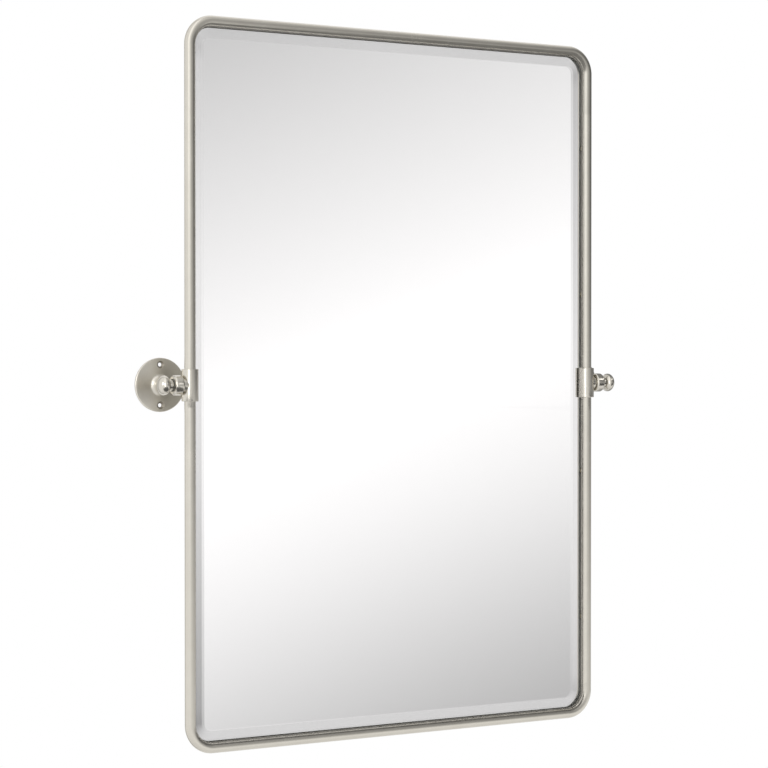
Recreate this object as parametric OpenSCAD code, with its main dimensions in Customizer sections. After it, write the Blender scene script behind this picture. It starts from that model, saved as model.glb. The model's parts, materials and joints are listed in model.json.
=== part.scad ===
// Pivot wall mirror: a bevelled mirror in a bent tube frame that tilts between two wall brackets.
// Row frame: X to the right, Y into the wall, Z up. The origin lies on the wall plane, midway
// between the two wall flanges at the height of the pivot axis. All sizes are in millimetres.

/* [Tube frame] */
// Overall width of the bent tube frame
frame_w = 609.6; // [450:0.1:800]
// Overall height of the bent tube frame
frame_h = 914.4; // [600:0.1:1200]
// Outside diameter of the tube
tube_d = 14; // [12:0.1:16]
// Wall of the tube
tube_wall = 1.2; // [0.8:0.1:2]
// Bend radius of the corners, on the centre line of the tube
bend_r = 30; // [28:0.5:60]

/* [Glass] */
// Thickness of the mirror glass
glass_t = 5; // [4:0.1:6]
// How far the front of the glass lies behind the centre plane of the tube
glass_set = 2.5; // [2:0.1:4]
// Gap between the edge of the glass and the inside of the tube
glass_gap = 0.5; // [0.3:0.1:2]
// Width of the bevel round the glass
bevel_w = 12.7; // [8:0.1:15]
// How much thinner the bevel makes the edge of the glass
bevel_drop = 2; // [1:0.1:2.5]

/* [Back] */
// Thickness of the foam mounting tape
tape_t = 1; // [0.5:0.1:2]
// Width of one strip of mounting tape
tape_w = 25; // [15:1:40]
// Number of vertical strips of mounting tape
tape_count = 5; // [3:1:7]
// How far the strips stop short of the edge of the glass
tape_inset = 30; // [15:1:60]
// Thickness of the backing board
board_t = 3; // [2:0.1:5]
// How far the board reaches outward past the centre line of the tube
board_reach = 1.5; // [0:0.1:4]
// Clearance of the board round the sleeves
notch_gap = 1; // [0.5:0.1:3]
// Diameter of the weld bosses on the back of the tube
boss_d = 8; // [7:0.1:9]
// Gap between the bosses and the edge of the glass
boss_gap = 0.5; // [0.2:0.1:1]
// How far forward of the board the bosses reach beside the tube
boss_h = 3.5; // [2:0.1:4]
// Number of board screws on each half of an upright, and on the top and the bottom
screws_per_run = 2; // [1:1:3]

/* [Board screws] */
// Thread diameter of the board screws
board_screw_d = 4; // [3:0.1:4.5]
// Length of a board screw past the board
board_screw_grip = 3.2; // [2.5:0.1:4]
// Head diameter of the board screws
board_head_d = 7; // [6:0.1:8]
// Head height of the board screws
board_head_h = 2; // [1.5:0.1:2.5]

/* [Sleeves and pivots] */
// Outside diameter of the sleeves
sleeve_d = 21; // [19:0.1:26]
// Length of the sleeves
sleeve_l = 40; // [34:1:60]
// Chamfer on the ends of the sleeves
sleeve_chamfer = 0.6; // [0.2:0.1:1]
// Solid web inside a sleeve, between the two tube ends
sleeve_web = 10; // [9:0.5:14]
// Diameter of the flat pad on a sleeve, where the washer sits
pad_d = 18; // [16:0.1:19]
// How far the flat pad stands out from the sleeve
pad_proud = 0.5; // [0.2:0.1:2]
// Thread diameter of the pivot bolts
bolt_d = 6; // [5:0.1:7]
// Thread engagement of a pivot bolt past the axis of its sleeve
bolt_in = 4; // [1:0.1:5]
// Thickness of a friction washer
washer_t = 0.8; // [0.5:0.1:2]
// Diameter of the inner friction washers
inner_washer_d = 17; // [14:0.1:18]
// Diameter of the outer friction washers
outer_washer_d = 16; // [14:0.1:18]
// Diameter of the knuckles
knuckle_d = 25; // [22:0.1:30]
// Length of the knuckles along the pivot axis
knuckle_l = 12; // [11.6:0.1:16]
// Radius of the rounded edges of the knuckles
knuckle_edge = 2.5; // [0.5:0.1:3]
// Outside diameter of the bearing bushes
bush_d = 9; // [8:0.1:10]
// Diameter of the finials
finial_d = 24.4; // [20:0.1:30]
// Length of the flattened ball of a finial, along the pivot axis
finial_l = 16; // [12:0.1:24]
// Diameter of the collar of a finial
finial_neck_d = 14; // [11:0.1:16]
// Length of the collar, from the outer washer to the centre of the ball
finial_neck_l = 10.9; // [8:0.1:14]
// Depth of the threaded hole in a finial past the centre of its ball
finial_bore_past = 2; // [0:0.1:4]

/* [Wall brackets] */
// Distance of the pivot axis from the wall
axis_to_wall = 52; // [48:0.5:100]
// Diameter of the wall flanges
flange_d = 68; // [64:0.5:80]
// Height of the rim of a wall flange
rim_h = 3; // [2.5:0.1:5]
// Radius of the rounded rim
rim_edge = 1.5; // [0.5:0.1:2]
// Rise of the flange face from the rim to the foot of the bell
face_rise = 1.2; // [0.5:0.1:3]
// Diameter of the foot of the bell-shaped boss
bell_foot_d = 29; // [26:0.5:32]
// Diameter of the mouth of the bell-shaped boss
bell_mouth_d = 16; // [15:0.1:18]
// Height of the mouth of the bell above the wall
bell_h = 17; // [14:0.5:22]
// Diameter of the bead of a post, against the mouth of the bell
bead_d = 18; // [17:0.1:20]
// Width of that bead
bead_w = 2.4; // [2:0.1:4]
// Diameter of a post next to its bead
post_root_d = 14; // [12:0.1:15]
// Diameter of a post where it enters the knuckle
post_tip_d = 11; // [9:0.1:11.2]
// Depth of the socket in a knuckle that takes its post
socket_depth = 5; // [3:0.1:5.5]
// Diameter of the spigot of a post, inside the bell
spigot_d = 10; // [9:0.1:11]
// Length of that spigot
spigot_l = 9; // [6:0.1:10]
// Thread diameter of the post screws
post_screw_d = 6; // [4:0.1:6]
// Head diameter of the countersunk post screws
post_head_d = 12; // [9:0.1:12]
// Length of the post screws, head and all
post_screw_l = 16; // [12:0.5:20]

/* [Wall holes] */
// Distance between the two wall holes of a flange
hole_spacing = 50.8; // [46:0.1:52]
// Diameter of the wall holes
hole_d = 5; // [4:0.1:6]
// Diameter of the countersinks at the face of the flange
sink_d = 9.4; // [8:0.1:10]

/* [Fits] */
// Radial clearance between a bolt or screw and the hole it turns in
turn_gap = 0.05; // [0.02:0.01:0.1]
// Radial clearance of the board round a board screw
board_hole_gap = 0.2; // [0.1:0.1:0.6]
// Gap between the end of a bolt and the floor of its hole
end_gap = 1; // [0.5:0.1:2]

/* [Hidden] */
$fn = 64;

NICKEL = "#CFC9BD";
SILVERED = "#E4E9EA";
GREY_BOARD = "#B2AFAA";
FOAM = "#E9E7E0";
ZINC = "#B9BCBE";
NYLON = "#63625E";

// Overlap that fuses two stretches of one solid, and the overrun of a cut
over = 1;

// Centre line of the tube
path_w = frame_w - tube_d;
path_h = frame_h - tube_d;
tube_r = tube_d / 2;

// Depths behind the centre plane of the tube
glass_back = glass_set + glass_t;
board_front = glass_back + tape_t;
board_back = board_front + board_t;

// Axes of the bosses and board screws, counted inward from the tube axis
boss_in = tube_r + glass_gap - boss_gap - boss_d / 2;

// Outline of the glass and of its bevel line
glass_w = path_w - tube_d - 2 * glass_gap;
glass_h = path_h - tube_d - 2 * glass_gap;
glass_r = bend_r - tube_r - glass_gap;
bevel_r = max(glass_r - bevel_w, over);

// Stations along the pivot axis, counted outward from the axis of the upright tube
pad_face = sleeve_d / 2 + pad_proud;
knuckle_near = pad_face + washer_t;
knuckle_mid = knuckle_near + knuckle_l / 2;
knuckle_far = knuckle_near + knuckle_l;
finial_near = knuckle_far + washer_t;
finial_mid = finial_near + finial_neck_l;
finial_floor = finial_mid + finial_bore_past;
post_x = path_w / 2 + knuckle_mid;

// Stations along a post, counted forward from the wall
knuckle_rear = axis_to_wall - knuckle_d / 2;
post_end = knuckle_rear + socket_depth;
face_h = rim_h + face_rise;
spigot_foot = bell_h - spigot_l;
flat_edge_r = flange_d / 2 - rim_edge;

// The mirror's own frame: x to the right, y up, z towards the room, centred on the tube
module face_frame() {
    translate([0, -axis_to_wall, 0]) rotate([90, 0, 0]) children();
}

// Right-hand or left-hand bracket, with x outward from the upright tube
module on_side(side) {
    if (side > 0) translate([path_w / 2, 0, 0]) children();
    else mirror([1, 0, 0]) translate([path_w / 2, 0, 0]) children();
}

// A solid turned about the pivot axis; its profile has x as radius and y as the way outward
module turned_on_pivot(side) {
    face_frame() on_side(side) rotate([0, 90, 0]) rotate_extrude() children();
}

// A post's own frame: z runs forward from the wall along the post axis
module on_post(side) {
    face_frame() translate([side * post_x, 0, -axis_to_wall]) children();
}

// Straight run of a profile along y; the profile has x outward and y towards the room
module run_y(length) {
    rotate([90, 0, 0]) linear_extrude(length, center = true) children();
}

// Upper half of a path round a rounded rectangle, from right to left, cut short at mid-height
module upper_half(w, h, r, cut) {
    leg = h / 2 - r - cut;
    for (side = [0, 1]) mirror([side, 0, 0]) {
        translate([w / 2, cut + leg / 2, 0]) run_y(leg) children();
        translate([w / 2 - r, h / 2 - r, 0]) rotate_extrude(angle = 90) translate([r, 0]) children();
    }
    translate([0, h / 2, 0]) rotate([0, 0, 90]) run_y(w - 2 * r) children();
}

// Flat rounded rectangle
module rounded_rect(w, h, r) {
    square([w - 2 * r, h], center = true);
    square([w, h - 2 * r], center = true);
    for (x = [-1, 1], y = [-1, 1]) translate([x * (w / 2 - r), y * (h / 2 - r)]) circle(r);
}

// Places of the board screws on the upper half (half = 1) or the lower half (half = -1),
// with x pointing inward from the tube axis
module at_board_screws(half) {
    leg = path_h / 2 - bend_r - sleeve_l / 2;
    top = path_w - 2 * bend_r;
    for (k = [0 : screws_per_run - 1]) {
        step = (2 * k + 1) / (2 * screws_per_run);
        y = sleeve_l / 2 + leg * step;
        translate([path_w / 2, half * y, 0]) rotate([0, 0, 180]) children();
        translate([-path_w / 2, half * y, 0]) children();
        translate([top * (step - 0.5), half * path_h / 2, 0]) rotate([0, 0, -90 * half]) children();
    }
}

module board_screw_hole(radius) {
    translate([boss_in, 0, -board_back - over]) cylinder(r = radius, h = board_back + over);
}

// ---- Mirror ----

module frame_half(half) {
    color(NICKEL) face_frame() difference() {
        mirror([0, half > 0 ? 0 : 1, 0]) upper_half(path_w, path_h, bend_r, sleeve_web / 2)
            difference() {
                circle(d = tube_d);
                circle(d = tube_d - 2 * tube_wall);
            }
        at_board_screws(half) board_screw_hole(board_screw_d / 2 + turn_gap);
    }
}

module upper_frame_tube() frame_half(1);
module lower_frame_tube() frame_half(-1);

// Turned collar: bored from both ends for the tube, with a tapped web for the pivot bolt
module sleeve(side) {
    half_l = sleeve_l / 2;
    bore_l = half_l - sleeve_web / 2;
    r = sleeve_d / 2;
    color(NICKEL) face_frame() on_side(side) difference() {
        union() {
            rotate([-90, 0, 0]) rotate_extrude() polygon([
                [0, -half_l], [r - sleeve_chamfer, -half_l], [r, sleeve_chamfer - half_l],
                [r, half_l - sleeve_chamfer], [r - sleeve_chamfer, half_l], [0, half_l]
            ]);
            rotate([0, 90, 0]) cylinder(d = pad_d, h = pad_face);
        }
        for (end = [-1, 1]) translate([0, end * (half_l + over / 2 - bore_l / 2), 0])
            rotate([90, 0, 0]) cylinder(r = tube_r + turn_gap, h = bore_l + over, center = true);
        translate([-bolt_in - end_gap, 0, 0]) rotate([0, 90, 0])
            cylinder(r = bolt_d / 2 + turn_gap, h = pad_face + bolt_in + end_gap + over);
        // Relief for the edge of the glass and for the board
        translate([-sleeve_d - tube_r - glass_gap / 2, -sleeve_l, -sleeve_d - glass_set + glass_gap])
            cube([sleeve_d, 2 * sleeve_l, sleeve_d]);
    }
}

module left_sleeve() sleeve(-1);
module right_sleeve() sleeve(1);

module mirror_glass() {
    inner_w = glass_w - 2 * bevel_w;
    inner_h = glass_h - 2 * bevel_w;
    color(SILVERED) face_frame() union() {
        translate([0, 0, -glass_back]) linear_extrude(glass_t) rounded_rect(inner_w, inner_h, bevel_r);
        for (half = [0, 1]) mirror([0, half, 0]) upper_half(inner_w, inner_h, bevel_r, 0) polygon([
            [-over / 2, -glass_back], [bevel_w, -glass_back],
            [bevel_w, -glass_set - bevel_drop], [0, -glass_set], [-over / 2, -glass_set]
        ]);
    }
}

module mounting_tape() {
    span = glass_w - 2 * tape_inset - tape_w;
    strip_h = glass_h - 2 * tape_inset;
    color(FOAM) face_frame() for (k = [0 : tape_count - 1])
        translate([span * (k / (tape_count - 1) - 0.5) - tape_w / 2, -strip_h / 2, -board_front])
            cube([tape_w, strip_h, tape_t]);
}

module backing_board() {
    notch_h = sleeve_l + 2 * notch_gap;
    notch_in = sleeve_d / 2 + notch_gap;
    color(GREY_BOARD) face_frame() difference() {
        translate([0, 0, -board_back]) linear_extrude(board_t)
            rounded_rect(path_w + 2 * board_reach, path_h + 2 * board_reach, bend_r + board_reach);
        for (side = [-1, 1]) translate([side * path_w / 2, 0, -board_back])
            cube([2 * notch_in, notch_h, 3 * board_t], center = true);
        for (half = [-1, 1]) at_board_screws(half) board_screw_hole(board_screw_d / 2 + board_hole_gap);
    }
}

// Coped round bosses, welded to the back of the tube and tapped for the board screws
module weld_bosses() {
    color(ZINC) face_frame() for (half = [-1, 1]) at_board_screws(half) difference() {
        translate([boss_in, 0, -board_front]) cylinder(d = boss_d, h = boss_h);
        rotate([90, 0, 0]) cylinder(d = tube_d, h = 2 * boss_d, center = true);
        board_screw_hole(board_screw_d / 2 + turn_gap);
    }
}

// Pan-head screws with a cross recess
module board_screws() {
    head_r = board_head_d / 2;
    crown = board_head_h / 2;
    slot_l = board_head_d * 0.55;
    slot_w = board_head_d * 0.13;
    color(ZINC) face_frame() for (half = [-1, 1]) at_board_screws(half)
        translate([boss_in, 0, -board_back]) difference() {
            union() {
                cylinder(d = board_screw_d, h = board_t + board_screw_grip);
                mirror([0, 0, 1]) rotate_extrude() polygon([
                    [0, 0], [head_r, 0], [head_r, crown],
                    for (a = [15 : 15 : 75]) [head_r - crown + crown * cos(a), crown + crown * sin(a)],
                    [head_r - crown, board_head_h], [0, board_head_h]
                ]);
            }
            for (turn = [0, 90]) rotate([0, 0, turn])
                translate([-slot_l / 2, -slot_w / 2, -board_head_h - over])
                    cube([slot_l, slot_w, over + crown * 1.4]);
        }
}

// ---- Pivots ----

module pivot_bolt(side) {
    r = bolt_d / 2;
    tip = bolt_d / 8;
    far = finial_floor - end_gap;
    color(ZINC) turned_on_pivot(side) polygon([
        [0, -bolt_in], [r - tip, -bolt_in], [r, tip - bolt_in], [r, far - tip], [r - tip, far], [0, far]
    ]);
}

module left_pivot_bolt() pivot_bolt(-1);
module right_pivot_bolt() pivot_bolt(1);

// Flattened ball on a collar, with a blind threaded hole
module finial(side) {
    r = finial_d / 2;
    half_l = finial_l / 2;
    color(NICKEL) turned_on_pivot(side) difference() {
        union() {
            polygon([for (a = [-90 : 5 : 90]) [r * cos(a), finial_mid + half_l * sin(a)]]);
            translate([0, finial_near]) square([finial_neck_d / 2, finial_neck_l]);
        }
        translate([-over, finial_near - over])
            square([over + bolt_d / 2 + turn_gap, over + finial_floor - finial_near]);
    }
}

module left_finial() finial(-1);
module right_finial() finial(1);

module washer(side, near, diameter) {
    bore_r = bolt_d / 2 + turn_gap;
    color(NYLON) turned_on_pivot(side) translate([bore_r, near]) square([diameter / 2 - bore_r, washer_t]);
}

module left_inner_washer() washer(-1, pad_face, inner_washer_d);
module right_inner_washer() washer(1, pad_face, inner_washer_d);
module left_outer_washer() washer(-1, knuckle_far, outer_washer_d);
module right_outer_washer() washer(1, knuckle_far, outer_washer_d);

module pivot_bush(side) {
    bore_r = bolt_d / 2 + turn_gap;
    color(NYLON) turned_on_pivot(side)
        translate([bore_r, knuckle_near]) square([bush_d / 2 - bore_r, knuckle_l]);
}

module left_pivot_bush() pivot_bush(-1);
module right_pivot_bush() pivot_bush(1);

module knuckle(side) {
    r = knuckle_d / 2;
    color(NICKEL) difference() {
        turned_on_pivot(side) union() {
            translate([0, knuckle_near]) square([r - knuckle_edge, knuckle_l]);
            translate([0, knuckle_near + knuckle_edge]) square([r, knuckle_l - 2 * knuckle_edge]);
            for (y = [knuckle_near + knuckle_edge, knuckle_far - knuckle_edge])
                translate([r - knuckle_edge, y]) circle(knuckle_edge);
        }
        turned_on_pivot(side) translate([0, knuckle_near - over])
            square([bush_d / 2 + turn_gap, knuckle_l + 2 * over]);
        on_post(side) translate([0, 0, knuckle_rear - over])
            cylinder(r = post_tip_d / 2 + turn_gap, h = socket_depth + over);
    }
}

module left_knuckle() knuckle(-1);
module right_knuckle() knuckle(1);

// ---- Wall brackets ----

// Turned post: spigot for the bell, bead against its mouth, long taper, plain end for the knuckle
module post(side) {
    bead_r = bead_d / 2;
    tip_r = post_tip_d / 2;
    neck = bell_h + bead_w;
    color(NICKEL) on_post(side) difference() {
        union() {
            translate([0, 0, spigot_foot]) cylinder(d = spigot_d, h = spigot_l);
            translate([0, 0, bell_h]) rotate_extrude() {
                square([bead_r - bead_w / 2, bead_w]);
                translate([bead_r - bead_w / 2, bead_w / 2]) circle(bead_w / 2);
            }
            rotate_extrude() polygon([
                [0, neck - over], [post_root_d / 2, neck - over], [post_root_d / 2, neck],
                [tip_r, knuckle_rear - over], [tip_r, post_end], [0, post_end]
            ]);
        }
        cylinder(r = post_screw_d / 2 + turn_gap, h = post_screw_l + over);
    }
}

module left_post() post(-1);
module right_post() post(1);

module post_screw(side) {
    head_r = post_head_d / 2;
    r = post_screw_d / 2;
    color(ZINC) on_post(side) difference() {
        rotate_extrude() polygon([
            [0, 0], [head_r, 0], [r, head_r - r], [r, post_screw_l], [0, post_screw_l]
        ]);
        translate([0, 0, -over]) cylinder(d = r, h = over + r * 0.8, $fn = 6);
    }
}

module left_post_screw() post_screw(-1);
module right_post_screw() post_screw(1);

// Round flange with a rolled rim, a slightly raised face and a bell-shaped boss
module wall_flange(side) {
    foot_r = bell_foot_d / 2;
    mouth_r = bell_mouth_d / 2;
    head_r = post_head_d / 2 + turn_gap;
    thread_r = post_screw_d / 2 + turn_gap;
    sink_r = sink_d / 2;
    hole_r = hole_d / 2;
    // Height of the sloping face at the wall holes
    at_hole = rim_h + face_rise * (flat_edge_r - hole_spacing / 2) / (flat_edge_r - foot_r);
    color(NICKEL) on_post(side) difference() {
        rotate_extrude() {
            polygon([
                [0, 0], [flange_d / 2, 0], [flange_d / 2, rim_h - rim_edge],
                [flat_edge_r, rim_h - rim_edge], [flat_edge_r, rim_h],
                for (a = [0 : 7.5 : 90])
                    [foot_r - (foot_r - mouth_r) * sin(a), face_h + (bell_h - face_h) * (1 - cos(a))],
                [0, bell_h]
            ]);
            translate([flat_edge_r, rim_h - rim_edge]) circle(rim_edge);
        }
        translate([0, 0, spigot_foot]) cylinder(r = spigot_d / 2 + turn_gap, h = spigot_l + over);
        translate([0, 0, -over]) cylinder(r = thread_r, h = spigot_foot + 2 * over);
        rotate_extrude() polygon([
            [0, -over], [head_r, -over], [head_r, 0], [thread_r, head_r - thread_r], [0, head_r - thread_r]
        ]);
        for (up = [-1, 1]) translate([0, up * hole_spacing / 2, 0]) {
            translate([0, 0, -over]) cylinder(r = hole_r, h = bell_h);
            translate([0, 0, at_hole - sink_r + hole_r])
                cylinder(r1 = hole_r, r2 = sink_r, h = sink_r - hole_r);
            translate([0, 0, at_hole]) cylinder(r = sink_r, h = bell_h);
        }
    }
}

module left_wall_flange() wall_flange(-1);
module right_wall_flange() wall_flange(1);

upper_frame_tube();
lower_frame_tube();
left_sleeve();
right_sleeve();
mirror_glass();
mounting_tape();
backing_board();
weld_bosses();
board_screws();
left_pivot_bolt();
right_pivot_bolt();
left_finial();
right_finial();
left_inner_washer();
right_inner_washer();
left_outer_washer();
right_outer_washer();
left_pivot_bush();
right_pivot_bush();
left_knuckle();
right_knuckle();
left_post();
right_post();
left_post_screw();
right_post_screw();
left_wall_flange();
right_wall_flange();
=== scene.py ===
import json
import math

import bmesh
import bpy
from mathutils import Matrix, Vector

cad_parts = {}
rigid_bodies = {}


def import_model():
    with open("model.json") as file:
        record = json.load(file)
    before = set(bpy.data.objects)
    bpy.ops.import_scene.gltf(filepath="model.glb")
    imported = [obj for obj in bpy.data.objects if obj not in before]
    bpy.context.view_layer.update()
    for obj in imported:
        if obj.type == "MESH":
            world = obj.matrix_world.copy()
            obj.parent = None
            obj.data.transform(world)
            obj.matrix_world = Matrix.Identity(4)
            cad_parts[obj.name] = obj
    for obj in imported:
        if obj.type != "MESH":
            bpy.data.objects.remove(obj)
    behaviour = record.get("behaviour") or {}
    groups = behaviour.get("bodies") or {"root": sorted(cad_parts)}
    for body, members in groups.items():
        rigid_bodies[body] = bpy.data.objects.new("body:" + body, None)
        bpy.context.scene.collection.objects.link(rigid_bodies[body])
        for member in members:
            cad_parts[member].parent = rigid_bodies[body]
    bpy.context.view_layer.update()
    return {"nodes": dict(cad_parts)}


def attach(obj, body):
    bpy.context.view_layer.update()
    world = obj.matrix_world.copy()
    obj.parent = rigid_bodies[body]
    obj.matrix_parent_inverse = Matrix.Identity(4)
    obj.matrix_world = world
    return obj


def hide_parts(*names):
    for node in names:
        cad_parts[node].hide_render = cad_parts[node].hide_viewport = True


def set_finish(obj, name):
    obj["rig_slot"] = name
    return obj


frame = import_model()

scene = bpy.context.scene
nodes = frame["nodes"]

# ---------------------------------------------------------------------------------------------
# The view. The mirror is seen from its left, level with the pivots, through a short telephoto
# lens about 2.9 m away. Angles in degrees.
LOOK_DOWN = 0.667
LOOK_RIGHT = 30.058

camera = bpy.data.objects.new("camera", bpy.data.cameras.new("camera"))
camera.data.lens = 103.56
camera.data.sensor_width = 36.0
camera.location = (-1.4548, -2.5286, 0.0332)
camera.rotation_euler = (math.radians(90 - LOOK_DOWN), 0, math.radians(-LOOK_RIGHT))
scene.collection.objects.link(camera)
scene.camera = camera
scene.view_settings.view_transform = "Standard"

# ---------------------------------------------------------------------------------------------
# The mirror plate. 5 mm float glass with round corners, its front edge ground and polished to a
# 12.7 mm bevel, silvered on the back and sealed there with a coat of grey paint. It lies in the
# tube frame on strips of foam tape. Sizes here and below are in millimetres.
MM = 0.001
GLASS_SIZE = (580.6, 885.4)
GLASS_CORNER = 22.5
BEVEL_WIDTH = 12.7
BEVEL_CORNER = 9.8
GLASS_FRONT = -49.5
BEVEL_EDGE = -47.5
SILVER_BACK = -44.65
PAINT_FRONT = -44.6
PAINT_BACK = -44.5
CORNER_STEPS = 16
PAINTED_SHADE_FROM = 400.0
PAINTED_SHADE_FULL = 430.0
GRIT_MARK = 0.4
ROLLER_MARK = 5.556


def linear(colour):
    """A colour written as sRGB hex, turned to linear light."""
    parts = [int(colour[i:i + 2], 16) / 255 for i in (1, 3, 5)]
    return [c / 12.92 if c <= 0.04045 else ((c + 0.055) / 1.055) ** 2.4 for c in parts] + [1.0]


def add(tree, kind, inputs=None, **settings):
    """Adds a node: settings are its properties, inputs are values or links for its sockets."""
    made = tree.nodes.new(kind)
    for name, value in settings.items():
        setattr(made, name, value)
    for name, value in (inputs or {}).items():
        if isinstance(value, bpy.types.NodeSocket):
            tree.links.new(value, made.inputs[name])
        else:
            made.inputs[name].default_value = value
    return made


def bare_material(name):
    """A material without nodes, and its tree."""
    made = bpy.data.materials.new(name)
    made.use_nodes = True
    made.node_tree.nodes.clear()
    return made, made.node_tree


def new_material(name, **inputs):
    """A material with one Principled shader, whose inputs are given by name with _ for a space."""
    made, tree = bare_material(name)
    shader = add(tree, "ShaderNodeBsdfPrincipled")
    for key, value in inputs.items():
        shader.inputs[key.replace("_", " ")].default_value = value
    add(tree, "ShaderNodeOutputMaterial", {"Surface": shader.outputs[0]})
    return made, tree, shader


def maths(tree, operation, first, second=0.0):
    """The outcome of one sum, for shaders and for geometry."""
    return add(tree, "ShaderNodeMath", {0: first, 1: second}, operation=operation).outputs[0]


def noise(tree, grain, detail=2.0, roughness=0.5):
    """Noise in the object's own coordinates, in grains of this many millimetres."""
    place = add(tree, "ShaderNodeTexCoord")
    return add(tree, "ShaderNodeTexNoise", {
        "Vector": place.outputs["Object"], "Scale": 1 / (grain * MM), "Detail": detail,
        "Roughness": roughness}).outputs[0]


def tint(tree, shader, factor, dark, light):
    """Colours the shader from dark to light, as the factor goes from 0 to 1."""
    made = add(tree, "ShaderNodeMix", {"Factor": factor, "A": linear(dark), "B": linear(light)},
               data_type="RGBA")
    tree.links.new(made.outputs["Result"], shader.inputs["Base Color"])


def face_outwards(mesh, merge=0.0):
    """Turns all faces outwards, once points that lie closer than merge, in mm, are made one."""
    solid = bmesh.new()
    solid.from_mesh(mesh)
    if merge:
        bmesh.ops.remove_doubles(solid, verts=solid.verts, dist=merge * MM)
    bmesh.ops.recalc_face_normals(solid, faces=solid.faces)
    solid.to_mesh(mesh)
    solid.free()


def mesh_piece(name, points, faces, materials, slots=None):
    """An object from points in mm, with its faces turned outwards."""
    mesh = bpy.data.meshes.new(name)
    mesh.from_pydata([Vector(p) * MM for p in points], [], faces)
    for material in materials:
        mesh.materials.append(material)
    if slots:
        mesh.polygons.foreach_set("material_index", slots)
    face_outwards(mesh)
    made = bpy.data.objects.new(name, mesh)
    scene.collection.objects.link(made)
    return made


def round_rectangle(width, height, corner, y):
    """The points of a rectangle with round corners, facing the room at depth y."""
    ring = []
    for quarter, (side, end) in enumerate(((1, 1), (-1, 1), (-1, -1), (1, -1))):
        for step in range(CORNER_STEPS + 1):
            turn = math.radians(90 * (quarter + step / CORNER_STEPS))
            ring.append((side * (width / 2 - corner) + corner * math.cos(turn), y,
                         end * (height / 2 - corner) + corner * math.sin(turn)))
    return ring


def stacked(rings):
    """Points and faces of a plate whose outline goes through rings from front to back."""
    count = len(rings[0])
    faces = [list(range(count))]
    for level in range(len(rings) - 1):
        for i in range(count):
            j = (i + 1) % count
            faces.append([level * count + i, level * count + j,
                          (level + 1) * count + j, (level + 1) * count + i])
    faces.append(list(range((len(rings) - 1) * count, len(rings) * count)))
    return [p for ring in rings for p in ring], faces


# Float glass: clear and sharp.
float_glass, _, _ = new_material("float_glass", Base_Color=linear("#FEFEFE"), Roughness=0.0,
                                 IOR=1.52, Transmission_Weight=1.0)
# The polished bevel is tinted greyer than the face, and greyer still along the short sides:
# painted shade.
bevel_glass_painted_shade, tree, shader = new_material("bevel_polished_glass", Roughness=0.0, IOR=1.52,
                                         Transmission_Weight=1.0)
place = add(tree, "ShaderNodeTexCoord")
up = add(tree, "ShaderNodeSeparateXYZ", {0: place.outputs["Object"]}).outputs[2]
# Painted shade: the bevel's tint darkens towards its top and bottom ends.
short_side_painted_shade = add(tree, "ShaderNodeMapRange", {
    "Value": maths(tree, "ABSOLUTE", up), "From Min": PAINTED_SHADE_FROM * MM,
    "From Max": PAINTED_SHADE_FULL * MM}).outputs[0]
tint(tree, shader, short_side_painted_shade, "#E4E4E4", "#CDCDCD")
# The edge of the sheet, ground with a 400 grit wheel: grey-green and matt. The marks of the wheel
# are 0.04 mm wide, drawn ten times coarser so that they show.
ground_edge, tree, shader = new_material("ground_glass_edge", Roughness=0.6)
tint(tree, shader, noise(tree, GRIT_MARK), "#B4BDB8", "#CAD1CD")
# Chemically laid silver, seen through the glass.
mirror_silver, _, _ = new_material("mirror_silver", Base_Color=linear("#F6F5F5"), Metallic=1.0,
                                   Roughness=0.0)

width, height = GLASS_SIZE
points, faces = stacked([
    round_rectangle(width - 2 * BEVEL_WIDTH, height - 2 * BEVEL_WIDTH, BEVEL_CORNER, GLASS_FRONT),
    round_rectangle(width, height, GLASS_CORNER, BEVEL_EDGE),
    round_rectangle(width, height, GLASS_CORNER, SILVER_BACK)])
ring_count = 4 * (CORNER_STEPS + 1)
mirror_plate = mesh_piece("mirror_plate", points, faces,
                          [float_glass, bevel_glass_painted_shade, ground_edge, mirror_silver],
                          [0] + [1] * ring_count + [2] * ring_count + [3])
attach(mirror_plate, "mirror")
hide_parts("mirror_glass")
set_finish(mirror_plate, "silvered_glass")

# Grey backing paint over the silver, rolled on: even and nearly matt.
backing_paint, tree, shader = new_material("grey_mirror_backing_paint", Roughness=0.55)
tint(tree, shader, noise(tree, ROLLER_MARK), "#6E7377", "#7C8083")

points, faces = stacked([round_rectangle(width, height, GLASS_CORNER, PAINT_FRONT),
                         round_rectangle(width, height, GLASS_CORNER, PAINT_BACK)])
back_paint = mesh_piece("mirror_back_paint", points, faces, [backing_paint])
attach(back_paint, "mirror")
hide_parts("mirror_glass")
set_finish(back_paint, "silvered_glass")

# ---------------------------------------------------------------------------------------------
# The frame tube. Two U-shaped halves of 14 mm steel tube with 1.2 mm wall, bent cold to 30 mm at
# the corners, brushed lengthwise and nickel plated. Their ends go into the collars at mid-height.
TUBE_HALF_WIDTH = 297.8
TUBE_HALF_HEIGHT = 450.2
TUBE_DIAMETER = 14.0
TUBE_WALL = 1.2
BEND_RADIUS = 30.0
TUBE_END = 5.0
PIVOT_DEPTH = -52.0
BEND_STEPS = 28
GIRTH_STEPS = 56
BRUSH_LINE = 0.45
PLATE_CLOUD = 22.22
LAY_STRETCH = 0.03


def vary_roughness(tree, shader, value, smoothest, roughest, low=0.0, high=1.0):
    """Roughness between two levels, as the value goes from low to high."""
    made = add(tree, "ShaderNodeMapRange", {"Value": value, "From Min": low, "From Max": high,
                                            "To Min": smoothest, "To Max": roughest})
    tree.links.new(made.outputs[0], shader.inputs["Roughness"])


def emboss(tree, shader, height, depth, strength, invert=False):
    """Fine relief of this depth in millimetres."""
    made = add(tree, "ShaderNodeBump", {"Height": height, "Strength": strength,
                                        "Distance": depth * MM}, invert=invert)
    tree.links.new(made.outputs[0], shader.inputs["Normal"])


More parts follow.
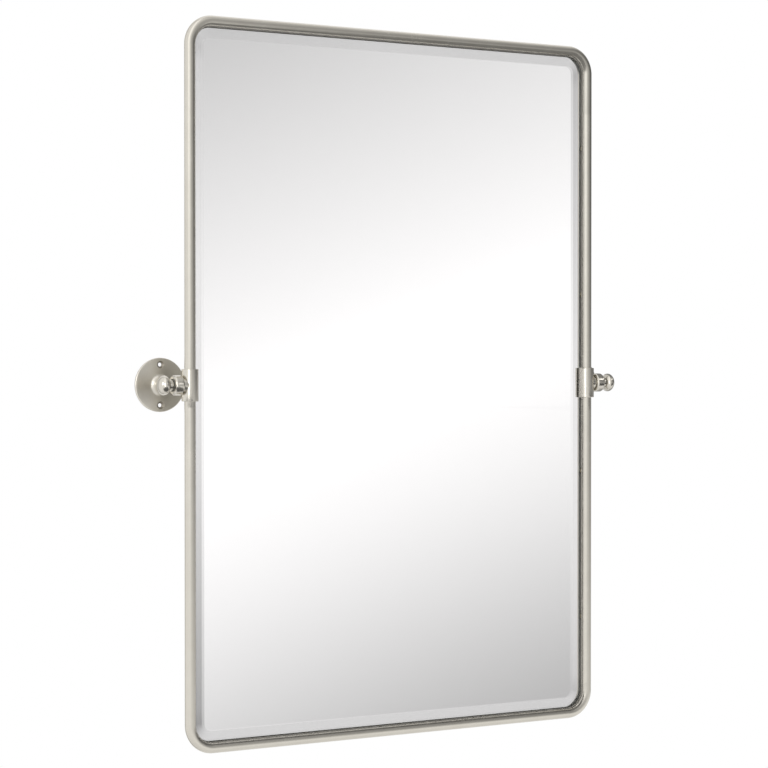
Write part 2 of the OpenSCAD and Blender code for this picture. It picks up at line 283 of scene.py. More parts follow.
def nickel(name, line_spacing, smoothest, roughest, dark="#CBC6BC", light="#D6D2C8"):
    """Brushed nickel plate: warm grey metal with fine lines along the stroke of the belt.

    The attribute lay says where a point is across the lines, and much less so along them.
    line_spacing is in mm; real lines lie 0.1 mm apart, drawn coarser here so that they show."""
    made, tree, shader = new_material(name, Metallic=1.0)
    lay = add(tree, "ShaderNodeAttribute", attribute_name="lay")
    lines = add(tree, "ShaderNodeTexNoise", {"Vector": lay.outputs["Vector"],
                                             "Scale": 1 / (line_spacing * MM), "Detail": 3.0,
                                             "Roughness": 0.6})
    cloud = noise(tree, PLATE_CLOUD)
    tint(tree, shader, cloud, dark, light)
    vary_roughness(tree, shader, maths(tree, "ADD", lines.outputs[0], cloud), smoothest, roughest,
                   low=0.6, high=1.4)
    emboss(tree, shader, lines.outputs[0], depth=0.06, strength=0.05)
    return made


tube_nickel = nickel("nickel_plate_brushed_lengthwise", BRUSH_LINE,
                     smoothest=0.22, roughest=0.28)

tube_tree = bpy.data.node_groups.new("bent_tube", "GeometryNodeTree")
tube_tree.is_modifier = True
tube_inputs = {}
for label, kind in (("Corner path", "NodeSocketGeometry"), ("Tube diameter", "NodeSocketFloat"),
                    ("Bend radius", "NodeSocketFloat"), ("Plate", "NodeSocketMaterial")):
    made = tube_tree.interface.new_socket(name=label, in_out="INPUT", socket_type=kind)
    tube_inputs[label] = made.identifier
tube_tree.interface.new_socket(name="Tube", in_out="OUTPUT", socket_type="NodeSocketGeometry")
given = add(tube_tree, "NodeGroupInput").outputs
path = add(tube_tree, "GeometryNodeMeshToCurve", {"Mesh": given["Corner path"]})
bend = add(tube_tree, "GeometryNodeFilletCurve", {"Curve": path.outputs[0],
                                                  "Count": BEND_STEPS,
                                                  "Radius": given["Bend radius"],
                                                  "Limit Radius": True}, mode="POLY")
run = add(tube_tree, "GeometryNodeSplineParameter")
bend = add(tube_tree, "GeometryNodeStoreNamedAttribute", {
    "Geometry": bend.outputs[0], "Name": "run", "Value": run.outputs["Length"]})
girth = add(tube_tree, "GeometryNodeCurvePrimitiveCircle", {
    "Resolution": GIRTH_STEPS,
    "Radius": maths(tube_tree, "MULTIPLY", given["Tube diameter"], 0.5)})
where = add(tube_tree, "GeometryNodeInputPosition")
girth = add(tube_tree, "GeometryNodeStoreNamedAttribute", {
    "Geometry": girth.outputs[0], "Name": "girth", "Value": where.outputs[0]},
    data_type="FLOAT_VECTOR")
skin = add(tube_tree, "GeometryNodeCurveToMesh", {"Curve": bend.outputs[0],
                                                  "Profile Curve": girth.outputs[0]})
along = add(tube_tree, "GeometryNodeInputNamedAttribute", {"Name": "run"})
around = add(tube_tree, "GeometryNodeInputNamedAttribute", {"Name": "girth"},
             data_type="FLOAT_VECTOR")
parts = add(tube_tree, "ShaderNodeSeparateXYZ", {0: around.outputs[0]})
lay = add(tube_tree, "ShaderNodeCombineXYZ", {
    0: parts.outputs[0], 1: parts.outputs[1],
    2: maths(tube_tree, "MULTIPLY", along.outputs[0], LAY_STRETCH)})
skin = add(tube_tree, "GeometryNodeStoreNamedAttribute", {
    "Geometry": skin.outputs[0], "Name": "lay", "Value": lay.outputs[0]},
    data_type="FLOAT_VECTOR")
skin = add(tube_tree, "GeometryNodeSetShadeSmooth", {"Geometry": skin.outputs[0]})
skin = add(tube_tree, "GeometryNodeRealizeInstances", {"Geometry": skin.outputs[0]})
skin = add(tube_tree, "GeometryNodeSetMaterial", {"Geometry": skin.outputs[0],
                                                  "Material": given["Plate"]})
add(tube_tree, "NodeGroupOutput", {0: skin.outputs[0]})


def plain_mesh(made, name):
    """The evaluated object as a new object with a plain mesh; the one it came from goes."""
    mesh = bpy.data.meshes.new_from_object(made.evaluated_get(
        bpy.context.evaluated_depsgraph_get()))
    mesh.name = name
    bpy.data.objects.remove(made)
    plain = bpy.data.objects.new(name, mesh)
    scene.collection.objects.link(plain)
    return plain


def shade_by_angle(made, degrees=30):
    """Smooth shading, with a sharp line wherever two faces meet at more than this angle."""
    made.data.polygons.foreach_set("use_smooth", [True] * len(made.data.polygons))
    made.data.set_sharp_from_angle(angle=math.radians(degrees))


for name, node, side in (("bent_tube_upper", "upper_frame_tube", 1),
                         ("bent_tube_lower", "lower_frame_tube", -1)):
    corners = [(x, PIVOT_DEPTH, side * z) for x, z in (
        (-TUBE_HALF_WIDTH, TUBE_END), (-TUBE_HALF_WIDTH, TUBE_HALF_HEIGHT),
        (TUBE_HALF_WIDTH, TUBE_HALF_HEIGHT), (TUBE_HALF_WIDTH, TUBE_END))]
    mesh = bpy.data.meshes.new(name)
    mesh.from_pydata([Vector(p) * MM for p in corners], [(0, 1), (1, 2), (2, 3)], [])
    bent = bpy.data.objects.new(name + "_path", mesh)
    scene.collection.objects.link(bent)
    sweep = bent.modifiers.new("sweep", "NODES")
    sweep.node_group = tube_tree
    sweep[tube_inputs["Tube diameter"]] = TUBE_DIAMETER * MM
    sweep[tube_inputs["Bend radius"]] = BEND_RADIUS * MM
    sweep[tube_inputs["Plate"]] = tube_nickel
    wall = bent.modifiers.new("wall", "SOLIDIFY")
    wall.thickness = TUBE_WALL * MM
    wall.offset = -1
    tube = plain_mesh(bent, name)
    face_outwards(tube.data)
    shade_by_angle(tube, degrees=50)
    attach(tube, "mirror")
    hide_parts(node)
    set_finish(tube, "frame_nickel")

# ---------------------------------------------------------------------------------------------
# The tape and the board. Strips of white closed-cell foam tape hold the glass on a board of 3 mm
# light grey painted hardboard, with the mark of the pressing screen on its back.
FOAM_CELL = 0.5
BOARD_FIBRE = 2.381
BOARD_CLOUD = 40.0
SCREEN_PITCH = 3.0
NET_SHARE = 0.5


def dress(node, material):
    """Gives a CAD node that stays one material."""
    nodes[node].data.materials.clear()
    nodes[node].data.materials.append(material)


# Polyethylene foam: off-white, soft and full of 0.5 mm cells.
foam, tree, shader = new_material("white_closed_cell_foam", Roughness=0.85)
place = add(tree, "ShaderNodeTexCoord")
cells = add(tree, "ShaderNodeTexVoronoi", {"Vector": place.outputs["Object"],
                                           "Scale": 1 / (FOAM_CELL * MM)}).outputs["Distance"]
tint(tree, shader, cells, "#EFEDE6", "#D8D5CB")
emboss(tree, shader, cells, depth=0.2, strength=0.4, invert=True)
dress("mounting_tape", foam)

# Hardboard under a thin coat of light grey paint that lets the fibres show. Its back has the net
# of the pressing screen, whose wires are 1.4 mm apart, drawn 3 mm apart so that it shows.
hardboard, tree, shader = new_material("grey_painted_hardboard", Roughness=0.6)
fibre = noise(tree, BOARD_FIBRE, detail=6.0, roughness=0.7)
flecks = add(tree, "ShaderNodeMapRange", {
    "Value": maths(tree, "ADD", fibre, noise(tree, BOARD_CLOUD, detail=3.0)),
    "From Min": 0.75, "From Max": 1.25})
tint(tree, shader, flecks.outputs[0], "#AEACA6", "#B7B5AF")
place = add(tree, "ShaderNodeTexCoord")
parts = add(tree, "ShaderNodeSeparateXYZ", {0: place.outputs["Object"]})
waves = [maths(tree, "SINE", maths(tree, "MULTIPLY", parts.outputs[axis],
                                   2 * math.pi / (SCREEN_PITCH * MM))) for axis in (0, 2)]
net = maths(tree, "MULTIPLY", maths(tree, "MULTIPLY", *waves), NET_SHARE)
emboss(tree, shader, maths(tree, "ADD", net, fibre), depth=0.3, strength=0.5)
dress("backing_board", hardboard)

# ---------------------------------------------------------------------------------------------
# The collars. Each is turned from brass bar, bored from both ends for the tube, with a flat pad
# on its outer side that carries the pivot, and cut away behind the edge of the glass.
COLLAR_RADIUS = 10.5
COLLAR_HALF_LENGTH = 20.0
COLLAR_CHAMFER = 0.6
TUBE_BORE = 7.05
WEB_HALF = 5.0
PAD_RADIUS = 9.0
PAD_FACE = 11.0
PAD_EDGE = 0.25
BOLT_HOLE = 3.05
BOLT_HOLE_START = 4.0
RELIEF_REACH = 7.25
RELIEF_DEPTH = -50.0
TURNED_STEPS = 96
LATHE_LINE = 0.4
LAY_SKEW = (1.0, 0.7, 1.3)
MERGE_DISTANCE = 0.001
BREAK_EDGE = 0.2
ROUND_EDGE = 0.3
SIDES = (("left", -1), ("right", 1))

turned_nickel = nickel("nickel_plate_brushed_on_the_lathe", LATHE_LINE,
                       smoothest=0.19, roughest=0.25)


def fillet(corners, steps=4):
    """A profile whose corners are rounded: each corner is (along, radius[, rounding])."""
    profile = []
    count = len(corners)
    for i, corner in enumerate(corners):
        here = Vector(corner[:2])
        size = corner[2] if len(corner) > 2 else 0
        if not size:
            profile.append(tuple(here))
            continue
        before = (Vector(corners[i - 1][:2]) - here).normalized()
        after = (Vector(corners[(i + 1) % count][:2]) - here).normalized()
        opening = before.angle(after)
        reach = size / math.tan(opening / 2)
        centre = here + (before + after).normalized() * size / math.sin(opening / 2)
        start, end = here + before * reach - centre, here + after * reach - centre
        sweep = start.angle(end)
        for step in range(steps + 1):
            t = step / steps
            point = (start * math.sin((1 - t) * sweep) + end * math.sin(t * sweep)) \
                / math.sin(sweep)
            profile.append(tuple(centre + point))
    return profile


def turned(name, profile, centre, axis, material, closed=False):
    """A piece turned about an axis through centre: profile is (along, radius) in mm.

    A profile that starts and ends on the axis is a solid; a closed one has a bore."""
    axis = Vector(axis)
    across = Vector((0, 0, 1)) if abs(axis.z) < 0.5 else Vector((1, 0, 0))
    third = axis.cross(across)
    points, rings = [], []
    for distance, radius in profile:
        middle = Vector(centre) + axis * distance
        if radius == 0:
            rings.append([len(points)])
            points.append(middle)
            continue
        rings.append(list(range(len(points), len(points) + TURNED_STEPS)))
        for step in range(TURNED_STEPS):
            turn = 2 * math.pi * step / TURNED_STEPS
            points.append(middle + radius * (across * math.cos(turn) + third * math.sin(turn)))
    faces = []
    pairs = list(zip(rings, rings[1:])) + ([(rings[-1], rings[0])] if closed else [])
    for first, second in pairs:
        for step in range(TURNED_STEPS):
            after = (step + 1) % TURNED_STEPS
            if len(first) == 1:
                faces.append([first[0], second[step], second[after]])
            elif len(second) == 1:
                faces.append([first[step], first[after], second[0]])
            else:
                faces.append([first[step], first[after], second[after], second[step]])
    made = mesh_piece(name, points, faces, [material])
    made["axis"] = list(axis)
    made["centre"] = list(centre)
    return made


def cut(piece, tool, operation="DIFFERENCE"):
    """Cuts the tool's solid out of the piece, or joins it on. The tool goes."""
    boolean = piece.modifiers.new("cut", "BOOLEAN")
    boolean.operation = operation
    boolean.solver = "EXACT"
    boolean.material_mode = "TRANSFER"
    boolean.object = tool
    axis, centre = list(piece["axis"]), list(piece["centre"])
    name = piece.name
    piece.name = name + "_before"
    made = plain_mesh(piece, name)
    bpy.data.objects.remove(tool)
    made["axis"], made["centre"] = axis, centre
    return made


def brush_round(piece):
    """Shades a turned piece and writes its attribute lay, with the lines round its axis."""
    face_outwards(piece.data, MERGE_DISTANCE)
    shade_by_angle(piece)
    axis, centre = Vector(piece["axis"]), Vector(piece["centre"]) * MM
    lay = piece.data.attributes.new("lay", "FLOAT_VECTOR", "POINT")
    for vertex, value in zip(piece.data.vertices, lay.data):
        offset = vertex.co - centre
        along = offset.dot(axis)
        radial = offset - axis * along
        value.vector = (along, radial.length, LAY_STRETCH * radial.dot(Vector(LAY_SKEW)))
    del piece["axis"], piece["centre"]


def block(name, low, high):
    """A plain block between two corners in mm, to cut with."""
    points = [(x, y, z) for x in (low[0], high[0]) for y in (low[1], high[1])
              for z in (low[2], high[2])]
    faces = [(0, 1, 3, 2), (4, 6, 7, 5), (0, 4, 5, 1), (2, 3, 7, 6), (0, 2, 6, 4), (1, 5, 7, 3)]
    return mesh_piece(name, points, faces, [])


for side_name, side in SIDES:
    middle = (side * TUBE_HALF_WIDTH, PIVOT_DEPTH, 0)
    outline = [(WEB_HALF, 0), (WEB_HALF, TUBE_BORE),
               (COLLAR_HALF_LENGTH, TUBE_BORE, BREAK_EDGE),
               (COLLAR_HALF_LENGTH, COLLAR_RADIUS - COLLAR_CHAMFER, ROUND_EDGE / 2),
               (COLLAR_HALF_LENGTH - COLLAR_CHAMFER, COLLAR_RADIUS, ROUND_EDGE)]
    outline += [(-along, *rest) for along, *rest in reversed(outline)]
    collar = turned(f"{side_name}_collar", fillet(outline), middle, (0, 0, 1), turned_nickel)
    pad = turned("pad", fillet([(0, 0), (0, PAD_RADIUS), (PAD_FACE, PAD_RADIUS, PAD_EDGE),
                                (PAD_FACE, 0)]), middle, (side, 0, 0), turned_nickel)
    collar = cut(collar, pad, "UNION")
    inner_face = side * (TUBE_HALF_WIDTH - RELIEF_REACH)
    far_face = side * (TUBE_HALF_WIDTH - 2 * COLLAR_RADIUS)
    relief = block("relief", (min(inner_face, far_face), RELIEF_DEPTH, -2 * COLLAR_HALF_LENGTH),
                   (max(inner_face, far_face), 0, 2 * COLLAR_HALF_LENGTH))
    collar = cut(collar, relief)
    drill = turned("drill", [(BOLT_HOLE_START, 0), (BOLT_HOLE_START, BOLT_HOLE),
                             (2 * PAD_FACE, BOLT_HOLE), (2 * PAD_FACE, 0)],
                   middle, (side, 0, 0), turned_nickel)
    collar = cut(collar, drill)
    brush_round(collar)
    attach(collar, "mirror")
    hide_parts(f"{side_name}_sleeve")
    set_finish(collar, "turned_nickel")

# ---------------------------------------------------------------------------------------------
# The pivots. On each side a knuckle, a ring turned from brass on the end of the post, carries the
# bolt in a nylon bush between two nylon washers; the friction of the washers holds the mirror.
KNUCKLE_NEAR = 11.8
KNUCKLE_LENGTH = 12.0
KNUCKLE_RADIUS = 12.5
KNUCKLE_EDGE = 2.5
BUSH_RADIUS = 4.5
POST_OUT = 17.8
POST_TIP_RADIUS = 5.5
POST_TIP = 44.5
KNUCKLE_REAR = 39.5
KNUCKLE_EDGE_STEPS = 10
SOCKET_OVERCUT = 4.0

for side_name, side in SIDES:
    middle = (side * TUBE_HALF_WIDTH, PIVOT_DEPTH, 0)
    far = KNUCKLE_NEAR + KNUCKLE_LENGTH
    knuckle = turned(f"{side_name}_knuckle_ring", fillet([
        (KNUCKLE_NEAR, BUSH_RADIUS, BREAK_EDGE), (KNUCKLE_NEAR, KNUCKLE_RADIUS, KNUCKLE_EDGE),
        (far, KNUCKLE_RADIUS, KNUCKLE_EDGE), (far, BUSH_RADIUS, BREAK_EDGE)], KNUCKLE_EDGE_STEPS),
        middle, (side, 0, 0), turned_nickel, closed=True)
    outside = KNUCKLE_REAR - SOCKET_OVERCUT
    socket = turned("socket", [(POST_TIP, 0), (POST_TIP, POST_TIP_RADIUS),
                               (outside, POST_TIP_RADIUS), (outside, 0)],
                    (side * (TUBE_HALF_WIDTH + POST_OUT), 0, 0), (0, -1, 0), turned_nickel)
    knuckle = cut(knuckle, socket)
    brush_round(knuckle)
    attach(knuckle, "brackets")
    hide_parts(f"{side_name}_knuckle")
    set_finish(knuckle, "turned_nickel")

# ---------------------------------------------------------------------------------------------
# The posts. Tapered brass posts with a bead at the foot, brazed into the knuckles and held in the
# wall flanges by a spigot and a countersunk screw from behind.
BELL_TOP = 17.0
BEAD_RADIUS = 9.0
BEAD_WIDTH = 2.4
SPIGOT_RADIUS = 5.0
SPIGOT_LENGTH = 9.0
POST_ROOT_RADIUS = 7.0
POST_SCREW_RADIUS = 3.05
POST_SCREW_END = 16.05
TIP_PLAIN = 1.0
BEAD_STEPS = 12

for side_name, side in SIDES:
    foot = (side * (TUBE_HALF_WIDTH + POST_OUT), 0, 0)
    bead_half = BEAD_WIDTH / 2
    profile = [(POST_SCREW_END, 0), (POST_SCREW_END, POST_SCREW_RADIUS),
               (BELL_TOP - SPIGOT_LENGTH, POST_SCREW_RADIUS),
               (BELL_TOP - SPIGOT_LENGTH, SPIGOT_RADIUS), (BELL_TOP, SPIGOT_RADIUS)]
    for step in range(BEAD_STEPS + 1):
        turn = math.pi * (step / BEAD_STEPS - 0.5)
        profile.append((BELL_TOP + bead_half + bead_half * math.sin(turn),
                        BEAD_RADIUS - bead_half + bead_half * math.cos(turn)))
    profile += fillet([(BELL_TOP, BEAD_RADIUS - bead_half),
                       (BELL_TOP + BEAD_WIDTH, POST_ROOT_RADIUS, ROUND_EDGE),
                       (KNUCKLE_REAR - TIP_PLAIN, POST_TIP_RADIUS),
                       (POST_TIP, POST_TIP_RADIUS, ROUND_EDGE), (POST_TIP, 0)])[1:]
    post = turned(f"{side_name}_tapered_post", profile, foot, (0, -1, 0), turned_nickel)
    brush_round(post)
    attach(post, "brackets")
    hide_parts(f"{side_name}_post")
    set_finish(post, "turned_nickel")

# ---------------------------------------------------------------------------------------------
# The wall flanges. Turned brass roses, 68 mm wide with a rolled edge and a bell in the middle,
# drilled above and below the bell for two countersunk wall screws.
FLANGE_RADIUS = 34.0
RIM_HEIGHT = 3.0
RIM_EDGE = 1.5
FACE_RISE = 1.2
BELL_FOOT_RADIUS = 14.5
BELL_MOUTH_RADIUS = 8.0
WALL_HOLE_OFFSET = 25.4
WALL_HOLE_RADIUS = 2.5
SINK_RADIUS = 4.7
SINK_TOP = 3.43
SCREW_SINK_DEPTH = 3.0
SCREW_SINK_RADIUS = 6.05
OVERCUT = 1.0
RIM_STEPS = 8
FACE_STEPS = 8
BELL_STEPS = 20

rose_nickel = nickel("nickel_plate_brushed_dull", LATHE_LINE, smoothest=0.28, roughest=0.42)
# The countersinks are rougher, where no brush reaches, and coloured darker: painted shade in the
# hollows.
sink_nickel_painted_shade = nickel("nickel_plate_thin_in_countersinks", LATHE_LINE,
                     smoothest=0.4, roughest=0.5, dark="#8B857A", light="#9A9488")

for side_name, side in SIDES:
    foot = (side * (TUBE_HALF_WIDTH + POST_OUT), 0, 0)
    bell_foot = RIM_HEIGHT + FACE_RISE
    profile = fillet([(SCREW_SINK_DEPTH, POST_SCREW_RADIUS), (0, SCREW_SINK_RADIUS),
                      (0, FLANGE_RADIUS - BREAK_EDGE, BREAK_EDGE),
                      (RIM_HEIGHT, FLANGE_RADIUS, RIM_EDGE),
                      (bell_foot, BELL_FOOT_RADIUS)], RIM_STEPS)[:-1]
    outer_along, outer_radius = profile[-1]
    for step in range(1, FACE_STEPS + 1):
        t = step / FACE_STEPS
        profile.append((outer_along + t * (bell_foot - outer_along),
                        outer_radius + t * (BELL_FOOT_RADIUS - outer_radius)))
    for step in range(1, BELL_STEPS + 1):
        turn = math.pi / 2 * step / BELL_STEPS
        profile.append((bell_foot + (BELL_TOP - bell_foot) * (1 - math.cos(turn)),
                        BELL_FOOT_RADIUS - (BELL_FOOT_RADIUS - BELL_MOUTH_RADIUS)
                        * math.sin(turn)))
    profile += [(BELL_TOP, SPIGOT_RADIUS), (BELL_TOP - SPIGOT_LENGTH, SPIGOT_RADIUS),
                (BELL_TOP - SPIGOT_LENGTH, POST_SCREW_RADIUS)]
    flange = turned(f"{side_name}_wall_rose", profile, foot, (0, -1, 0), rose_nickel,
                    closed=True)
    for end in (-1, 1):
        # The countersink's cut faces take the darker nickel, a painted shade.
        sink = turned("sink", [(-OVERCUT, 0), (-OVERCUT, WALL_HOLE_RADIUS),
                               (SINK_TOP - SINK_RADIUS + WALL_HOLE_RADIUS, WALL_HOLE_RADIUS),
                               (SINK_TOP, SINK_RADIUS), (3 * SINK_TOP, SINK_RADIUS),
                               (3 * SINK_TOP, 0)],
                      (foot[0], 0, end * WALL_HOLE_OFFSET), (0, -1, 0), sink_nickel_painted_shade)
        flange = cut(flange, sink)
    brush_round(flange)
    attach(flange, "brackets")
    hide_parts(f"{side_name}_wall_flange")
    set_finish(flange, "turned_nickel")

# ---------------------------------------------------------------------------------------------
# The finials. Flattened balls turned with a narrow neck, tightened by hand on the ends of the
# pivot bolts.
FINIAL_START = 24.6
NECK_RADIUS = 7.0
FINIAL_RADIUS = 12.2
FINIAL_CENTRE = 35.5
FINIAL_HALF = 8.0
FINIAL_BORE_END = 37.5
BALL_STEPS = 40

for side_name, side in SIDES:
    middle = (side * TUBE_HALF_WIDTH, PIVOT_DEPTH, 0)
    start = math.acos(NECK_RADIUS / FINIAL_RADIUS)
    ball = []
    for step in range(BALL_STEPS + 1):
        turn = -start + (start + math.pi / 2) * step / BALL_STEPS
        ball.append((FINIAL_CENTRE + FINIAL_HALF * math.sin(turn),
                     FINIAL_RADIUS * math.cos(turn)))
    ball[-1] = (FINIAL_CENTRE + FINIAL_HALF, 0)
    profile = [(FINIAL_BORE_END, 0), (FINIAL_BORE_END, BOLT_HOLE), (FINIAL_START, BOLT_HOLE)]
    profile += fillet([(FINIAL_START, BOLT_HOLE), (FINIAL_START, NECK_RADIUS, ROUND_EDGE),
                       ball[0]])[1:-1] + ball
    finial = turned(f"{side_name}_ball_finial", profile, middle, (side, 0, 0), turned_nickel)
    brush_round(finial)
    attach(finial, f"finial_{side_name}")
    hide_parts(f"{side_name}_finial")
    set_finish(finial, "turned_nickel")

# ---------------------------------------------------------------------------------------------
# The board's fixings. Twelve steel bosses are welded to the back of the tube, six on each half,
# and take twelve zinc-plated pan-head screws with a cross recess through the board.
BOSS_RADIUS = 4.0
BOSS_START = -47.0
BOARD_FRONT = -43.5
BOARD_BACK = -40.5
HEAD_RADIUS = 3.5
HEAD_HEIGHT = 2.0
SHANK_RADIUS = 2.0
SHANK_END = -46.7
TAPPED_RADIUS = 2.05
BOSS_FLOOR = -46.8
RECESS_LENGTH = 3.8
RECESS_WIDTH = 0.9
RECESS_DEPTH = 1.3
POINT_EDGE = 0.5
SHANK_FILLET = 0.1
HEAD_EDGE = 1.3
SCREW_EDGE_STEPS = 6
ZINC_CLOUD = 1.667
BOSS_SEED = 3
SCREW_SEED = 7
FIXINGS = [(x * side, z * end) for x, z in ((294.8, 120.05), (294.8, 320.15), (133.9, 447.2))
           for side in (-1, 1) for end in (-1, 1)]

# Bright zinc plate: blue-white steel, a little cloudy.
zinc, tree, shader = new_material("bright_zinc_plate", Metallic=1.0)
cloud = noise(tree, ZINC_CLOUD, detail=3.0)
tint(tree, shader, cloud, "#B4B7BC", "#CFCFC9")
vary_roughness(tree, shader, cloud, smoothest=0.25, roughest=0.45)

scatter_tree = bpy.data.node_groups.new("fixings_on_points", "GeometryNodeTree")
scatter_tree.is_modifier = True
scatter_inputs = {}
for label, kind in (("Places", "NodeSocketGeometry"), ("Fixing", "NodeSocketObject"),
                    ("Turn seed", "NodeSocketInt"), ("Plate", "NodeSocketMaterial")):
    made = scatter_tree.interface.new_socket(name=label, in_out="INPUT", socket_type=kind)
    scatter_inputs[label] = made.identifier
scatter_tree.interface.new_socket(name="Fixings", in_out="OUTPUT",
                                  socket_type="NodeSocketGeometry")
given = add(scatter_tree, "NodeGroupInput").outputs
shape = add(scatter_tree, "GeometryNodeObjectInfo", {"Object": given["Fixing"]})
turns = add(scatter_tree, "FunctionNodeRandomValue", {"Seed": given["Turn seed"]},
            data_type="FLOAT")
turns.inputs[3].default_value = 2 * math.pi
about = add(scatter_tree, "ShaderNodeCombineXYZ", {1: turns.outputs[1]})
spread = add(scatter_tree, "GeometryNodeInstanceOnPoints", {
    "Points": given["Places"], "Instance": shape.outputs["Geometry"],
    "Rotation": about.outputs[0]})
spread = add(scatter_tree, "GeometryNodeRealizeInstances", {"Geometry": spread.outputs[0]})
spread = add(scatter_tree, "GeometryNodeSetMaterial", {"Geometry": spread.outputs[0],
                                                       "Material": given["Plate"]})
add(scatter_tree, "NodeGroupOutput", {0: spread.outputs[0]})


def scattered(name, fixing, material, seed):
    """One mesh of a fixing at all its places. The fixing itself goes."""
    mesh = bpy.data.meshes.new(name)
    mesh.from_pydata([Vector((x, 0, z)) * MM for x, z in FIXINGS], [], [])
    made = bpy.data.objects.new(name + "_places", mesh)
    scene.collection.objects.link(made)
    modifier = made.modifiers.new("fixings", "NODES")
    modifier.node_group = scatter_tree
    modifier[scatter_inputs["Fixing"]] = fixing
    modifier[scatter_inputs["Turn seed"]] = seed
    modifier[scatter_inputs["Plate"]] = material
    made = plain_mesh(made, name)
    bpy.data.objects.remove(fixing)
    return made


boss = turned("boss", fillet([(BOSS_START, 0), (BOSS_START, BOSS_RADIUS),
                              (BOARD_FRONT, BOSS_RADIUS, ROUND_EDGE),
                              (BOARD_FRONT, TAPPED_RADIUS),
                              (BOSS_FLOOR, TAPPED_RADIUS), (BOSS_FLOOR, 0)]),
              (0, 0, 0), (0, 1, 0), tube_nickel)
brush_round(boss)
bosses = scattered("welded_bosses", boss, tube_nickel, BOSS_SEED)
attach(bosses, "mirror")
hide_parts("weld_bosses")
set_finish(bosses, "frame_nickel")

head_top = BOARD_BACK + HEAD_HEIGHT
screw = turned("screw", fillet([(SHANK_END, 0), (SHANK_END, SHANK_RADIUS, POINT_EDGE),
                                (BOARD_BACK, SHANK_RADIUS, SHANK_FILLET),
                                (BOARD_BACK, HEAD_RADIUS, BREAK_EDGE),
                                (head_top, HEAD_RADIUS, HEAD_EDGE), (head_top, 0)],
                               SCREW_EDGE_STEPS),
               (0, 0, 0), (0, 1, 0), zinc)
for long_axis in (0, 2):
    low = [-RECESS_WIDTH / 2, head_top - RECESS_DEPTH, -RECESS_WIDTH / 2]
    high = [RECESS_WIDTH / 2, head_top + OVERCUT, RECESS_WIDTH / 2]
    low[long_axis], high[long_axis] = -RECESS_LENGTH / 2, RECESS_LENGTH / 2
    screw = cut(screw, block("recess", low, high))
brush_round(screw)
screws = scattered("pan_head_screws", screw, zinc, SCREW_SEED)
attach(screws, "mirror")
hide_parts("board_screws")
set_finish(screws, "zinc_steel")

# ---------------------------------------------------------------------------------------------
# The hidden hardware. Zinc-plated steel bolts and post screws, and bushes and washers moulded in
# nylon dyed grey. They keep their CAD shapes.
MOULD_GRAIN = 0.6667

# Nylon with the faint grain of the mould.
nylon, tree, shader = new_material("grey_moulded_nylon", IOR=1.53)
grain = noise(tree, MOULD_GRAIN, detail=4.0)
tint(tree, shader, grain, "#565550", "#66655F")
vary_roughness(tree, shader, grain, smoothest=0.35, roughest=0.55)
for side_name, _ in SIDES:
    for part in ("pivot_bolt", "post_screw"):
        dress(f"{side_name}_{part}", zinc)
    for part in ("pivot_bush", "inner_washer", "outer_washer"):
        dress(f"{side_name}_{part}", nylon)

# ---------------------------------------------------------------------------------------------
# The studio. Everything in it is stage only: an even white room, and round it two spheres of
# light, tents that only one kind of ray sees. Angles in degrees, the tents' radius in metres.
WHITE = (1, 1, 1, 1)
ROOM_FILL = 0.55
TENT_RADIUS = 7.0


def ramp(tree, value, start, end, low, high, soft=True):
    """The value's place between start and end, as a number from low to high."""
    return add(tree, "ShaderNodeMapRange", {
        "Value": value, "From Min": start, "From Max": end, "To Min": low, "To Max": high},
        interpolation_type="SMOOTHSTEP" if soft else "LINEAR").outputs[0]


world = bpy.data.worlds.new("studio")
scene.world = world
world.use_nodes = True
tree = world.node_tree
tree.nodes.clear()
# The room is white to the eye and in reflections, and lights matt surfaces more weakly.
path = add(tree, "ShaderNodeLightPath").outputs
seen = maths(tree, "MAXIMUM", path["Is Camera Ray"], path["Is Glossy Ray"])
seen = maths(tree, "MAXIMUM", seen, path["Is Transmission Ray"])
light = add(tree, "ShaderNodeBackground", {
    "Color": WHITE, "Strength": ramp(tree, seen, 0, 1, ROOM_FILL, 1, soft=False)})
add(tree, "ShaderNodeOutputWorld", {"Surface": light.outputs[0]})


def seen_only_by(made, rays):
    """Hides an object from every kind of ray but one."""
    for kind in ("camera", "diffuse", "glossy", "transmission", "volume_scatter", "shadow"):
        setattr(made, "visible_" + kind, kind == rays)


def tent(name, rays):
    """A sphere of light round the studio that only one kind of ray sees; returns its tree."""
    ball = bmesh.new()
    bmesh.ops.create_uvsphere(ball, u_segments=64, v_segments=32, radius=TENT_RADIUS)
    mesh = bpy.data.meshes.new(name)
    ball.to_mesh(mesh)
    ball.free()
    made = bpy.data.objects.new(name, mesh)
    scene.collection.objects.link(made)
    seen_only_by(made, rays)
    material, tree = bare_material(name)
    mesh.materials.append(material)
    return tree


def direction(tree, eye):
    """Turn from the room side towards +X, and rise, of a point of the tent seen from eye."""
    place = add(tree, "ShaderNodeTexCoord")
    ray = add(tree, "ShaderNodeVectorMath", {0: place.outputs["Object"], 1: eye},
              operation="SUBTRACT")
    ray = add(tree, "ShaderNodeVectorMath", {0: ray.outputs[0]}, operation="NORMALIZE")
    parts = add(tree, "ShaderNodeSeparateXYZ", {0: ray.outputs[0]}).outputs
    turn = maths(tree, "ARCTAN2", parts[0], maths(tree, "MULTIPLY", parts[1], -1.0))
    rise = maths(tree, "ARCSINE", parts[2])
    return maths(tree, "DEGREES", turn), maths(tree, "DEGREES", rise)


def glow(tree, strength):
    """Makes the tent shine white with this strength."""
    light = add(tree, "ShaderNodeEmission", {"Strength": strength})
    add(tree, "ShaderNodeOutputMaterial", {"Surface": light.outputs[0]})


